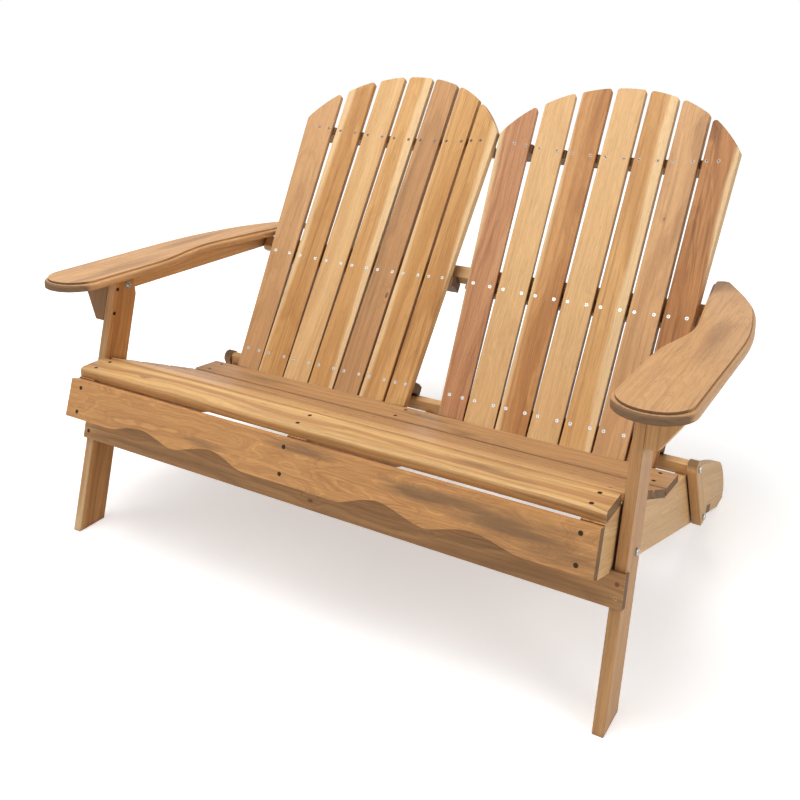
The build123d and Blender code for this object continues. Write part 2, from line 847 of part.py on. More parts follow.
for side, way in (("left", -1), ("right", 1)):
    rail_face = way * (rail_outer - board / 2) - board / 2
    bearer_face = way * (bearer_outer - board / 2) - board / 2
    rail = long_rail(rail_face)
    for point in (leg_pivot, strut_pivot):
        rail -= hole(point, rail_face - overrun, rail_face + overrun)
    nodes[f"rail_{side}"] = rail
    nodes[f"seat_bearer_{side}"] = bearer(bearer_face) - hole(
        leg_pivot, bearer_face - overrun, bearer_face + overrun
    )

nodes["rail_middle"] = long_rail(-board / 2)
nodes["seat_bearer_middle"] = bearer(bearer_lines[1] - board / 2)
nodes["apron"] = less_screws(apron(), apron_places, apron_screw)
nodes["rear_stretcher"] = rear_stretcher()
count = len(seat_places) // len(seat_boards)
for index, name in enumerate(seat_boards):
    own = seat_places[index * count:(index + 1) * count]
    nodes[name] = less_screws(seat_slat(name), own, seat_screw)
nodes["seat_screws"] = place_on(screw(seat_screw), seat_places)
nodes["apron_screws"] = place_on(screw(apron_screw), apron_places)

stretcher_screws = []
bracket_screws = []
cross_board = stretcher()
for side, way, part, corbel in (
    ("right", 1, leg(), bracket()), ("left", -1, mirrored(leg()), mirrored(bracket()))
):
    across = stretcher_screw_places(way)
    inside = bracket_screw_places(way)
    part = less_screws(part, across, frame_screw)
    nodes[f"front_leg_{side}"] = less_screws(part, inside, frame_screw)
    nodes[f"arm_bracket_{side}"] = less_screws(corbel, inside, frame_screw)
    cross_board = less_screws(cross_board, across, frame_screw)
    stretcher_screws += place_on(screw(frame_screw), across)
    bracket_screws += place_on(screw(frame_screw), inside)
nodes["front_stretcher"] = cross_board
nodes["stretcher_screws"] = stretcher_screws
nodes["bracket_screws"] = bracket_screws

for name, piece in (("arm", arm()), ("arm_rail", arm_rail()), ("strut", strut())):
    nodes[f"{name}_right"] = piece
    nodes[f"{name}_left"] = mirrored(piece)

slats = [back_slat(i) for i in range(-3, 4)]
screw_places = [slat_screw_places(i) for i in range(-3, 4)]
slats = [less_screws(slat, places, back_screw) for slat, places in zip(slats, screw_places)]
cleats = []
for row in range(3):
    own = [place for places in screw_places for place in places[2 * row:2 * row + 2]]
    cleats.append(less_screws(cleat(row), own, back_screw))
back_screws = []
for side, way in (("left", -1), ("right", 1)):
    spot = back_plane.location * Pos(way * back_centre, 0, 0)
    for index, slat in enumerate(slats):
        nodes[f"back_{side}_slat_{index + 1}"] = spot * slat
    for name, piece in zip(("lower", "middle", "upper"), cleats):
        nodes[f"back_{side}_cleat_{name}"] = spot * piece
    for places in screw_places:
        back_screws += [spot * place * screw(back_screw) for place in places]
nodes["back_screws"] = back_screws
nodes["back_beam_middle"] = mid_beam()
nodes["back_beam_lower"] = low_beam()

rail_bolts = []
rail_nuts = []
rail_washers = []
back_bolts = []
arm_front_bolts = []
arm_front_washers = []
arm_front_nuts = []
arm_rear_bolts = []
for way in (1, -1):
    inside = way * (bearer_outer - board)
    # The strut's bolt passes behind the bearer, so its nut lies on the rail
    behind = way * bearer_outer
    rail_bolts.append(bolt(leg_pivot, way * leg_outer, inside - way * nut_thick / 2, way))
    rail_bolts.append(bolt(strut_pivot, way * strut_outer, behind - way * nut_thick / 2, way))
    rail_nuts.append(nut(leg_pivot, inside, -way))
    rail_nuts.append(nut(strut_pivot, behind, -way))
    rail_washers.append(ring(leg_pivot, way * rail_outer, way * leg_inner, washer_size))
    rail_washers.append(ring(strut_pivot, way * rail_outer, way * strut_inner, washer_size))
    back_bolts.append(bolt(strut_top, way * strut_outer, way * (low_beam_end - beam_bolt_reach), way))
    # The arm's front bolt is in two parts: one stays in the leg, and its end with the nut
    # stays in the rail under the arm
    head_face = way * (leg_inner - head_washer)
    arm_front_bolts.append(bolt(arm_pivot, head_face, way * leg_outer, -way))
    arm_front_washers.append(ring(arm_pivot, head_face, way * leg_inner, head_washer_size))
    shank_end = rod(arm_pivot, way * arm_rail_inner, way * (arm_rail_outer + nut_thick / 2), bolt_shank)
    arm_front_nuts.append(nut(arm_pivot, way * arm_rail_outer, way) + shank_end)
    arm_rear_bolts.append(
        bolt(arm_rear_pivot, way * arm_rail_outer, way * (mid_beam_end - beam_bolt_reach), way)
    )
nodes["rail_bolts"] = rail_bolts
nodes["rail_nuts"] = rail_nuts
nodes["rail_washers"] = rail_washers
nodes["back_bolts"] = back_bolts
nodes["arm_front_bolts"] = arm_front_bolts
nodes["arm_front_washers"] = arm_front_washers
nodes["arm_front_nuts"] = arm_front_nuts
nodes["arm_rear_bolts"] = arm_rear_bolts

pieces = {
    name: Compound(children=list(shape)) if isinstance(shape, list) else shape
    for name, shape in nodes.items()
}
boxes = [piece.bounding_box() for piece in pieces.values()]
front = min(box.min.Y for box in boxes)
rear = max(box.max.Y for box in boxes)
middle_shift = -(front + rear) / 2

os.makedirs("parts", exist_ok=True)
for name, piece in pieces.items():
    export_step(Pos(0, middle_shift, 0) * piece, f"parts/{name}.step")

print("nodes", len(pieces), "shift in Y", round(middle_shift, 3))
for name, point in (
    ("leg pivot", leg_pivot), ("arm pivot", arm_pivot), ("strut pivot", strut_pivot),
    ("strut top", strut_top), ("arm rear pivot", arm_rear_pivot),
):
    print(name, "Y", round(point[0] + middle_shift, 3), "Z", round(point[1], 3))
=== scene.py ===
import bpy
import numpy as np
from mathutils import Matrix, Vector


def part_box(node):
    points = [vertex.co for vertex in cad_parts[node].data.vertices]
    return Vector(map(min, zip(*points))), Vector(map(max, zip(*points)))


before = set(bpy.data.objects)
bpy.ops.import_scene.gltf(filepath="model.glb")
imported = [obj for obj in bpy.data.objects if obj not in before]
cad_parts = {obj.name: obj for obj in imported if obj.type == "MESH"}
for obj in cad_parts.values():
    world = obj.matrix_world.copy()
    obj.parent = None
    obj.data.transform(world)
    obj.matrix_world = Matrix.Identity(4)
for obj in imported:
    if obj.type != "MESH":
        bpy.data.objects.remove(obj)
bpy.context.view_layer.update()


# The camera stands at the right front, a little above the backs, and looks gently down. The
# picture's own plane is shifted, as with a view camera, so that upright things lean less.
eye = Vector((1.0062, -1.7860, 1.1420))
yaw, dip, roll = np.radians((30.824, 12.96, 0.198))
focal_share = 1.2366
frame_shift = -0.225
film_width = 36.0

look = Vector((-np.sin(yaw) * np.cos(dip), np.cos(yaw) * np.cos(dip), -np.sin(dip)))
level = Vector((np.cos(yaw), np.sin(yaw), 0))
upward = level.cross(look)
right = level * np.cos(roll) + upward * np.sin(roll)
upward = upward * np.cos(roll) - level * np.sin(roll)
camera_data = bpy.data.cameras.new("camera")
camera_data.sensor_width = film_width
camera_data.lens = focal_share * film_width
camera_data.shift_y = frame_shift
camera = bpy.data.objects.new("camera", camera_data)
turn = Matrix((right, upward, -look)).transposed().to_4x4()
camera.matrix_world = Matrix.Translation(eye) @ turn
bpy.context.collection.objects.link(camera)
bpy.context.scene.camera = camera
bpy.context.scene.view_settings.view_transform = "Standard"


# The studio: a white floor that runs out of the picture, with the loveseat's soft shadow on
# it, a white room around it, and three large soft lamps, above it and on both sides.
def put(tree, kind, sockets=(), **settings):
    """Adds one node. The settings are its own properties, and sockets gives, for an input, a
    plain value or the output that feeds it."""
    node = tree.nodes.new(kind)
    for key, value in settings.items():
        setattr(node, key, value)
    for key, value in dict(sockets).items():
        if isinstance(value, bpy.types.NodeSocket):
            tree.links.new(value, node.inputs[key])
        else:
            node.inputs[key].default_value = value
    return node


def maths(tree, operation, *values):
    """One or more numbers through one arithmetic step."""
    return put(tree, "ShaderNodeMath", dict(enumerate(values)), operation=operation).outputs[0]


def spread(tree, value, low, high, to_low=0.0, to_high=1.0):
    """A value stretched from the range low to high onto another one, held at its ends."""
    return put(tree, "ShaderNodeMapRange",
               {0: value, 1: low, 2: high, 3: to_low, 4: to_high}).outputs[0]


def seen_rays(tree):
    """1 on the rays that show the background: straight ones, mirrored ones and ones through
    glass. It is 0 on the rays that light the loveseat."""
    path = put(tree, "ShaderNodeLightPath").outputs
    rays = maths(tree, "MAXIMUM", path["Is Camera Ray"], path["Is Glossy Ray"])
    return maths(tree, "MAXIMUM", rays, path["Is Transmission Ray"])


def new_material(name):
    """A material and its node tree, still empty."""
    material = bpy.data.materials.new(name)
    material.use_nodes = True
    material.node_tree.nodes.clear()
    return material, material.node_tree


lamps = {
    "lamp_above": ((-0.5, -0.7, 3.4), (0, 0, 0.3), 2.2, 82.0),
    "lamp_right": ((3.9, -1.1, 2.2), (0, 0, 0.4), 2.2, 40.0),
    "lamp_left": ((-3.2, -2.4, 2.4), (0, 0, 0.5), 2.4, 17.0),
}
for name, (place, aim, width, power) in lamps.items():
    data = bpy.data.lights.new(name, "AREA")
    data.size = width
    data.energy = power
    beam = Vector(aim) - Vector(place)
    aimed = beam.to_track_quat("-Z", "Y").to_matrix().to_4x4()
    lamp = bpy.data.objects.new(name, data)
    lamp.matrix_world = Matrix.Translation(place) @ aimed
    bpy.context.collection.objects.link(lamp)

white = (1, 1, 1, 1)
room_light = 0.3
world = bpy.data.worlds.new("white_room")
bpy.context.scene.world = world
world.use_nodes = True
tree = world.node_tree
tree.nodes.clear()
strength = spread(tree, seen_rays(tree), 0.0, 1.0, room_light, 1.0)
shine = put(tree, "ShaderNodeBackground", {0: white, 1: strength})
put(tree, "ShaderNodeOutputWorld", {0: shine.outputs[0]})

floor_size = 30.0
half = floor_size / 2
corners = [(-half, -half, 0), (half, -half, 0), (half, half, 0), (-half, half, 0)]
floor_mesh = bpy.data.meshes.new("studio_floor")
floor_mesh.from_pydata(corners, [], [(0, 1, 2, 3)])
floor = bpy.data.objects.new("studio_floor", floor_mesh)
bpy.context.collection.objects.link(floor)
# To the eye the paper glows, and more so with distance, where the lamps' own light fades
paper_white = (0.92, 0.92, 0.92, 1)
glow_from, glow_to = 0.5, 2.6
# Painted shade: the glow is weaker near the loveseat, which darkens its shadow on the floor
near_glow, far_glow = 0.46, 0.76
paper, tree = new_material("white_paper")
spot = put(tree, "ShaderNodeTexCoord").outputs["Object"]
reach = put(tree, "ShaderNodeVectorMath", {0: spot}, operation="LENGTH").outputs["Value"]
even = spread(tree, reach, glow_from, glow_to, near_glow, far_glow)
lift = maths(tree, "MULTIPLY", seen_rays(tree), even)
matt = put(tree, "ShaderNodeBsdfDiffuse", {"Color": paper_white})
glow = put(tree, "ShaderNodeEmission", {"Color": white, "Strength": lift})
both = put(tree, "ShaderNodeAddShader", {0: matt.outputs[0], 1: glow.outputs[0]})
put(tree, "ShaderNodeOutputMaterial", {0: both.outputs[0]})
floor.data.materials.append(paper)


# The three long rails are planed acacia boards with a satin oil, which run from the apron down
# to the floor behind. The grain runs along them, and the cut ends drink more oil and go grey.
def group_with(name, inputs, outputs):
    """A new node group with these named inputs and outputs."""
    group = bpy.data.node_groups.new(name, "ShaderNodeTree")
    for label, kind in inputs:
        group.interface.new_socket(label, in_out="INPUT", socket_type="NodeSocket" + kind)
    for label, kind in outputs:
        group.interface.new_socket(label, in_out="OUTPUT", socket_type="NodeSocket" + kind)
    given = group.nodes.new("NodeGroupInput").outputs
    result = group.nodes.new("NodeGroupOutput").inputs
    return group, given, result


def stretched_noise(tree, place, stretch, detail, rough, warp=0.0):
    """Noise on coordinates that are multiplied by stretch, so that small factors draw it out
    into long streaks."""
    drawn = put(tree, "ShaderNodeVectorMath", {0: place, 1: stretch}, operation="MULTIPLY")
    noise = put(tree, "ShaderNodeTexNoise",
                {"Vector": drawn.outputs[0], "Scale": 1.0, "Detail": detail,
                 "Roughness": rough, "Distortion": warp})
    return noise.outputs["Fac"]


def mixed(tree, share, first, second, how="MIX"):
    """Two colours mixed by a share."""
    sockets = {0: share, 6: first, 7: second}
    return put(tree, "ShaderNodeMix", sockets, data_type="RGBA", blend_type=how).outputs[2]


def distance_from(tree, place, spot, weights):
    """How far a place lies from a spot, where each direction counts by its weight."""
    apart = put(tree, "ShaderNodeVectorMath", {0: place, 1: spot}, operation="SUBTRACT")
    apart = put(tree, "ShaderNodeVectorMath", {0: apart.outputs[0], 1: weights},
                operation="MULTIPLY")
    return put(tree, "ShaderNodeVectorMath", {0: apart.outputs[0]},
               operation="LENGTH").outputs["Value"]


grain, given, result = group_with(
    "acacia_grain",
    [("Place", "Vector"), ("Endwise", "Float"), ("Pale", "Color"), ("Warm", "Color"),
     ("Dark", "Color"), ("Sap", "Color"), ("Streaks", "Float"), ("Bands", "Float"),
     ("Wander", "Float"), ("Swell", "Float"), ("Knot", "Float"), ("Smear", "Float"),
     ("Sap line", "Float"), ("Sap side", "Float")],
    [("Color", "Color"), ("Roughness", "Float"), ("Height", "Float")])
place = given["Place"]
# The noises' changes per metre, along the grain and twice across it
bend_scale = (2.6, 10, 10)
heart_scale = (1.5, 17, 17)
thread_scale = (0.9, 130, 130)
fibre_scale = (8, 380, 380)
pore_scale = (42, 1250, 1250)
# Growth rings are shells around the heart of the tree, a line beside the board: the distance
# from that line, bent by a slow noise, picks the ring's tone from a one-dimensional noise
ring_tones_per_metre = 95.0
dark_lines_per_metre = 210.0
across = put(grain, "ShaderNodeVectorMath", {0: place, 1: (0, 1, 1)}, operation="MULTIPLY")
radius = put(grain, "ShaderNodeVectorMath", {0: across.outputs[0]}, operation="LENGTH")
sway = maths(grain, "SUBTRACT", stretched_noise(grain, place, bend_scale, 3, 0.5), 0.5)
bend = maths(grain, "MULTIPLY", sway, given["Wander"])
radius = maths(grain, "ADD", radius.outputs["Value"], bend)
radius = maths(grain, "ADD", radius, given["Swell"])
ring_place = maths(grain, "MULTIPLY", radius, ring_tones_per_metre)
rings = put(grain, "ShaderNodeTexNoise",
            {"W": ring_place, "Scale": 1.0, "Detail": 5.0, "Roughness": 0.62},
            noise_dimensions="1D").outputs["Fac"]
rings = spread(grain, rings, 0.35, 0.66)
lines = maths(grain, "FRACT", maths(grain, "MULTIPLY", radius, dark_lines_per_metre))
lines = maths(grain, "MULTIPLY", maths(grain, "POWER", lines, 4.0), given["Bands"])
lines = maths(grain, "MULTIPLY", lines, 0.16)
# Dark heartwood shows in patches and threads, and more of it on streaky boards
heart = stretched_noise(grain, place, heart_scale, 3, 0.55, 0.4)
ring_pull = maths(grain, "MULTIPLY", maths(grain, "SUBTRACT", rings, 0.5), 0.22)
heart = maths(grain, "ADD", heart, ring_pull)
edge = maths(grain, "SUBTRACT", 0.92, maths(grain, "MULTIPLY", given["Streaks"], 0.6))
heart = spread(grain, maths(grain, "SUBTRACT", heart, edge), 0.0, 0.16)
heart = maths(grain, "MAXIMUM", heart, given["Smear"])
threads = stretched_noise(grain, place, thread_scale, 3, 0.6)
threads = spread(grain, threads, 0.52, 0.68, 0.0, 0.9)
threads = maths(grain, "MULTIPLY", threads, given["Streaks"])
warmth = maths(grain, "MULTIPLY", rings, given["Bands"])
tint = mixed(grain, warmth, given["Pale"], given["Warm"])
for share in (maths(grain, "MULTIPLY", heart, 0.85), threads, lines):
    tint = mixed(grain, share, tint, given["Dark"])
# Sapwood, the tree's pale outer wood, takes the board from a wandering line to one edge
beside = put(grain, "ShaderNodeSeparateXYZ", {0: place}).outputs[1]
beside = maths(grain, "ADD", beside, maths(grain, "MULTIPLY", sway, 0.035))
beside = maths(grain, "SUBTRACT", beside, given["Sap line"])
beside = maths(grain, "MULTIPLY", beside, given["Sap side"])
beside = spread(grain, beside, -0.002, 0.006, 0.0, 0.85)
tint = mixed(grain, beside, tint, given["Sap"])
# Fibres and pores draw fine lines over all of it, and cut ends are grey and dry
pore_colour = (0.12, 0.05, 0.02, 1)
knot_colour = (0.035, 0.014, 0.006, 1)
end_colour = (0.12, 0.075, 0.048, 1)
fibre = stretched_noise(grain, place, fibre_scale, 3, 0.62)
pores = spread(grain, stretched_noise(grain, place, pore_scale, 1, 0.5), 0.60, 0.72)
end = maths(grain, "MULTIPLY", spread(grain, given["Endwise"], 0.55, 0.92), 0.75)
tone = spread(grain, fibre, 0.25, 0.75, 0.86, 1.13)
tone_colour = put(grain, "ShaderNodeCombineXYZ", {0: tone, 1: tone, 2: tone}).outputs[0]
tint = mixed(grain, 1.0, tint, tone_colour, "MULTIPLY")
tint = mixed(grain, maths(grain, "MULTIPLY", pores, 0.28), tint, pore_colour)
tint = mixed(grain, given["Knot"], tint, knot_colour)
tint = mixed(grain, end, tint, end_colour)
grain.links.new(tint, result["Color"])
dry = spread(grain, fibre, 0.3, 0.7, 0.40, 0.52)
dry = maths(grain, "ADD", dry, maths(grain, "MULTIPLY", pores, 0.2))
dry = maths(grain, "ADD", dry, maths(grain, "MULTIPLY", end, 0.35))
grain.links.new(dry, result["Roughness"])
relief = maths(grain, "MULTIPLY", fibre, 0.5)
relief = maths(grain, "SUBTRACT", relief, maths(grain, "MULTIPLY", pores, 0.6))
relief = maths(grain, "ADD", relief, maths(grain, "MULTIPLY", rings, 0.25))
grain.links.new(relief, result["Height"])

# A knot is the foot of a branch: a dark round spot, and around it the rings swell aside
knot, given, result = group_with(
    "branch_knot", [("Place", "Vector"), ("Spot", "Vector"), ("Size", "Float")],
    [("Knot", "Float"), ("Swell", "Float")])
apart = distance_from(knot, given["Place"], given["Spot"], (0.55, 1, 0.35))
ratio = maths(knot, "DIVIDE", apart, given["Size"])
fade = maths(knot, "MULTIPLY", maths(knot, "MULTIPLY", ratio, ratio), -0.22)
fade = maths(knot, "POWER", 2.718, fade)
swell = maths(knot, "MULTIPLY", fade, maths(knot, "MULTIPLY", given["Size"], 2.6))
knot.links.new(swell, result["Swell"])
rough_edge = stretched_noise(knot, given["Place"], (160, 260, 260), 2, 0.6)
rough_edge = maths(knot, "MULTIPLY", maths(knot, "SUBTRACT", rough_edge, 0.5), 0.9)
rim = maths(knot, "ADD", ratio, rough_edge)
knot.links.new(spread(knot, rim, 0.35, 1.15, 0.92, 0.0), result["Knot"])

# A smear is a long patch where the heartwood comes to the face, frayed along the grain
smear, given, result = group_with(
    "heartwood_smear", [("Place", "Vector"), ("Spot", "Vector"), ("Size", "Float")],
    [("Smear", "Float")])
apart = distance_from(smear, given["Place"], given["Spot"], (0.16, 1, 0.4))
frayed = stretched_noise(smear, given["Place"], (7, 70, 70), 4, 0.6)
frayed = maths(smear, "MULTIPLY", maths(smear, "SUBTRACT", frayed, 0.5), 1.9)
ratio = maths(smear, "ADD", maths(smear, "DIVIDE", apart, given["Size"]), frayed)
smear.links.new(spread(smear, ratio, 0.3, 1.15, 1.0, 0.0), result["Smear"])

# Where boards are handled their edges lose oil and go paler, and where they meet each other the
# crease is darkened with painted shade, which ambient occlusion finds
crease_reach = 0.014
rub, given, result = group_with(
    "rubbed_edge", [("Width", "Float")], [("Rub", "Float"), ("Crease", "Float")])
bevel = put(rub, "ShaderNodeBevel", {"Radius": given["Width"]}, samples=4).outputs[0]
flat = put(rub, "ShaderNodeNewGeometry").outputs["Normal"]
same = put(rub, "ShaderNodeVectorMath", {0: bevel, 1: flat}, operation="DOT_PRODUCT")
rub.links.new(spread(rub, same.outputs["Value"], 0.99, 0.80), result["Rub"])
open_air = put(rub, "ShaderNodeAmbientOcclusion", {"Distance": crease_reach}, samples=6)
rub.links.new(spread(rub, open_air.outputs["AO"], 0.85, 0.2), result["Crease"])


def tone_of(red, green, blue):
    """A colour written as it looks on a screen, 0 to 255, as the light that it gives back."""
    share = np.array((red, green, blue)) / 255
    light = np.where(share <= 0.04045, share / 12.92, ((share + 0.055) / 1.055) ** 2.4)
    return (*light.tolist(), 1.0)


# Tones of the boards, from the palest to the darkest: each is the pale ground, the warm rings
# and the dark streaks
cream = (tone_of(230, 190, 138), tone_of(216, 170, 115), tone_of(172, 118, 72))
honey = (tone_of(224, 180, 124), tone_of(206, 156, 98), tone_of(162, 108, 62))
striped = (tone_of(222, 175, 110), tone_of(176, 119, 64), tone_of(116, 69, 36))
gold = (tone_of(216, 167, 108), tone_of(192, 139, 82), tone_of(146, 93, 52))
burl = (tone_of(216, 151, 84), tone_of(174, 106, 51), tone_of(88, 43, 21))
tan = (tone_of(208, 156, 105), tone_of(181, 127, 79), tone_of(134, 85, 50))
amber = (tone_of(204, 150, 94), tone_of(176, 120, 70), tone_of(130, 78, 43))
russet = (tone_of(202, 149, 106), tone_of(174, 119, 80), tone_of(142, 88, 57))
brown = (tone_of(194, 138, 87), tone_of(162, 107, 62), tone_of(108, 65, 37))
shaded = (tone_of(192, 139, 87), tone_of(150, 98, 55), tone_of(98, 59, 33))
walnut = (tone_of(134, 88, 54), tone_of(104, 66, 39), tone_of(70, 42, 25))
sapwood = tone_of(232, 198, 150)


def dress(name, material):
    """Gives a piece of the frame its material."""
    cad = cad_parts[name]
    cad.data.materials.clear()
    cad.data.materials.append(material)


def oiled_wood(name, tones, along, facing, streaks=0.35, bands=0.85, wander=0.03,
               heart=(0.09, 0.16), tilt=0.6, knots=(), smears=(), shift=0.0, sap=(0.0, 0.0),
               thirst_and_lip_shade=1.0):
    """The finish of one board. along is its grain and facing the way its broad face looks, as
    directions; heart is how far beside and behind its middle the tree's heart lies, tilt the
    angle between the two in degrees, and each knot and smear a spot along and across the board
    and a size. shift picks another stretch of the tree. sap is the line across the board where
    sapwood starts, and the side that it lies on; thirst is how far round from its cut ends the
    board goes grey, and where it is above 1 it also paints shade on a rounded lip."""
    rubbed_width = 0.0025
    bleach = (1.28, 1.26, 1.2, 1)
    # The dark brown of the painted shade in the creases
    crease_shade_colour = (0.30, 0.22, 0.17, 1)
    grain_depth = 0.0006
    satin = 0.2
    low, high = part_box(name)
    middle = (low + high) / 2
    x_axis = Vector(along).normalized()
    z_axis = (Vector(facing) - x_axis * Vector(facing).dot(x_axis)).normalized()
    y_axis = z_axis.cross(x_axis)
    tilted = Matrix((x_axis, y_axis, z_axis)).transposed()
    tilted = tilted @ Matrix.Rotation(np.radians(tilt), 3, "Z")
    tilted = tilted @ Matrix.Rotation(np.radians(tilt * 0.7), 3, "Y")
    origin = middle - tilted @ Vector((shift, heart[0], heart[1]))
    material, tree = new_material("wood_" + name)
    spot = put(tree, "ShaderNodeTexCoord").outputs
    placed = put(tree, "ShaderNodeMapping",
                 {"Vector": spot["Object"], "Location": origin, "Rotation": tilted.to_euler()},
                 vector_type="TEXTURE").outputs[0]
    faced = put(tree, "ShaderNodeVectorMath", {0: spot["Normal"], 1: x_axis},
                operation="DOT_PRODUCT").outputs["Value"]
    endwise = maths(tree, "MULTIPLY", maths(tree, "ABSOLUTE", faced), thirst_and_lip_shade)
    values = {"Place": placed, "Endwise": endwise, "Pale": tones[0], "Warm": tones[1],
              "Dark": tones[2], "Sap": sapwood, "Streaks": streaks, "Bands": bands,
              "Wander": wander, "Sap line": sap[0] + heart[0], "Sap side": sap[1],
              "Swell": 0.0, "Knot": 0.0, "Smear": 0.0}
    joined_by = {"Swell": "ADD", "Knot": "MAXIMUM", "Smear": "MAXIMUM"}
    for group, spots in ((knot, knots), (smear, smears)):
        for x, y, size in spots:
            mark = put(tree, "ShaderNodeGroup",
                       {"Place": placed, "Spot": (x + shift, y + heart[0], heart[1]),
                        "Size": size}, node_tree=group)
            for mask in mark.outputs:
                values[mask.name] = maths(tree, joined_by[mask.name], mask, values[mask.name])
    wood = put(tree, "ShaderNodeGroup", values, node_tree=grain).outputs
    wear_and_shade = put(tree, "ShaderNodeGroup", {"Width": rubbed_width}, node_tree=rub).outputs
    pale = mixed(tree, 1.0, wood["Color"], bleach, "MULTIPLY")
    colour = mixed(tree, maths(tree, "MULTIPLY", wear_and_shade["Rub"], 0.4), wood["Color"], pale)
    # Painted shade: the crease where boards meet is darkened
    crease_shaded = mixed(tree, 1.0, colour, crease_shade_colour, "MULTIPLY")
    colour = mixed(tree, maths(tree, "MULTIPLY", wear_and_shade["Crease"], 0.9), colour, crease_shaded)
    bump = put(tree, "ShaderNodeBump",
               {"Height": wood["Height"], "Strength": 0.35, "Distance": grain_depth})
    shader = put(tree, "ShaderNodeBsdfPrincipled",
                 {"Base Color": colour, "Roughness": wood["Roughness"],
                  "Normal": bump.outputs[0], "Specular IOR Level": satin})
    put(tree, "ShaderNodeOutputMaterial", {0: shader.outputs[0]})
    dress(name, material)


def side_way(degrees):
    """A direction in the side view: degrees up from the rear."""
    return (0, np.cos(np.radians(degrees)), np.sin(np.radians(degrees)))


sideways = (1, 0, 0)
upwards = (0, 0, 1)
rail_slope = 18.1
rail_way = side_way(-rail_slope)
oiled_wood("rail_right", honey, rail_way, sideways, streaks=0.3, heart=(0.02, 0.12))
oiled_wood("rail_left", amber, rail_way, sideways, streaks=0.4, heart=(0.05, 0.15))
oiled_wood("rail_middle", tan, rail_way, sideways, streaks=0.4, heart=(-0.04, 0.14))


# Three bearers lie beside the rails and take the seat's screws. They are the same boards, cut
# square behind the seat.
oiled_wood("seat_bearer_right", gold, rail_way, sideways, streaks=0.45, heart=(0.07, 0.11))
oiled_wood("seat_bearer_left", tan, rail_way, sideways, streaks=0.5, heart=(-0.03, 0.18))
oiled_wood("seat_bearer_middle", amber, rail_way, sideways, streaks=0.4, heart=(0.05, 0.2))


# The apron is the widest board, with the strongest figure: its hollows are sawn through rings
# that wander round its knots. The rear stretcher is let into the rails' lower edges.
apron_lean = 17.8
apron_face = side_way(180 - apron_lean)
oiled_wood("apron", burl, sideways, apron_face, streaks=0.3, bands=0.9, wander=0.34,
           heart=(0.012, 0.05), tilt=1.3,
           knots=((0.06, 0.02, 0.004), (-0.2, 0.012, 0.002), (0.5, -0.02, 0.006)),
           smears=((0.29, 0.01, 0.018), (0.44, -0.006, 0.021), (0.52, -0.03, 0.016),
                   (0.03, 0.03, 0.012), (-0.2, -0.01, 0.009)))
oiled_wood("rear_stretcher", honey, sideways, upwards, streaks=0.3, heart=(0.1, 0.13))


# Five seat boards are screwed down on the rails and bearers, the front one with a round nosing.
# It is pale and boldly striped, the next is golden, and the other three are darker.
seat_looks = {
    "1_front": (0.0, striped, 0.45, (0.06, 0.12), ((-0.42, 0.0, 0.003),),
                ((0.35, 0.0, 0.012),), 2.59),
    "2": (23.6, gold, 0.5, (0.11, 0.15), (), (), 0.37),
    "3": (23.6, shaded, 0.6, (0.07, 0.1), (), ((-0.3, 0.0, 0.02),), 0.37),
    "4": (23.6, shaded, 0.6, (0.12, 0.13), (), (), 0.37),
    "5_rear": (5.2, shaded, 0.5, (0.05, 0.09), ((0.02, 0.012, 0.004),),
               ((-0.4, 0.0, 0.016), (0.05, 0.01, 0.014)), 2.22),
}
for mark, (slope, tones, streaks, heart, knots, smears, shift) in seat_looks.items():
    oiled_wood("seat_slat_" + mark, tones, sideways, side_way(90 - slope), streaks=streaks,
               bands=1.0, heart=heart, knots=knots, smears=smears, shift=shift)


# The front legs lean back and turn on the rails. The stretcher is screwed across their front
# edges, and a corbel stands beside each under the arm.
leg_lean = 15.3
leg_way = side_way(90 - leg_lean)
leg_face = side_way(180 - leg_lean)
oiled_wood("front_leg_right", amber, leg_way, sideways, streaks=0.35, heart=(0.03, 0.1),
           shift=0.2, knots=((-0.1, -0.03, 0.004),))
oiled_wood("front_leg_left", amber, leg_way, sideways, streaks=0.4, heart=(0.06, 0.12),
           sap=(0.024, 1.0))
oiled_wood("front_stretcher", shaded, sideways, leg_face, streaks=0.45, bands=1.0,
           heart=(0.05, 0.07), wander=0.05,
           knots=((0.0, -0.012, 0.005), (0.26, -0.006, 0.003), (0.38, 0.01, 0.002)))
oiled_wood("arm_bracket_right", gold, leg_way, leg_face, streaks=0.5, heart=(0.05, 0.1))
# The left corbel's dark walnut tone is partly painted shade, from the arm above it
oiled_wood("arm_bracket_left", walnut, leg_way, leg_face, streaks=0.4, heart=(0.06, 0.11))


# The paddle arms are wide boards with a step and a round lip, each on a rail of its own.
# They fall very slightly to the rear.
arm_slope = 0.84
arm_way = side_way(-arm_slope)
# Painted shade: the doubled greying of cut ends darkens the arms' round nose lip, which faces
# forward and down
oiled_wood("arm_right", tan, arm_way, upwards, streaks=0.4, bands=0.9, heart=(0.03, 0.09),
           tilt=1.0, wander=0.05, knots=((0.06, -0.035, 0.003),),
           smears=((0.0, -0.02, 0.02),), thirst_and_lip_shade=2.0)
oiled_wood("arm_left", tan, arm_way, upwards, streaks=0.45, bands=0.8, heart=(-0.04, 0.11),
           tilt=-0.8, wander=0.05, smears=((0.05, 0.03, 0.02), (-0.2, -0.02, 0.02)),
           thirst_and_lip_shade=2.0)
oiled_wood("arm_rail_right", amber, arm_way, sideways, streaks=0.4, heart=(0.05, 0.13))
oiled_wood("arm_rail_left", gold, arm_way, sideways, streaks=0.5, heart=(0.04, 0.12))


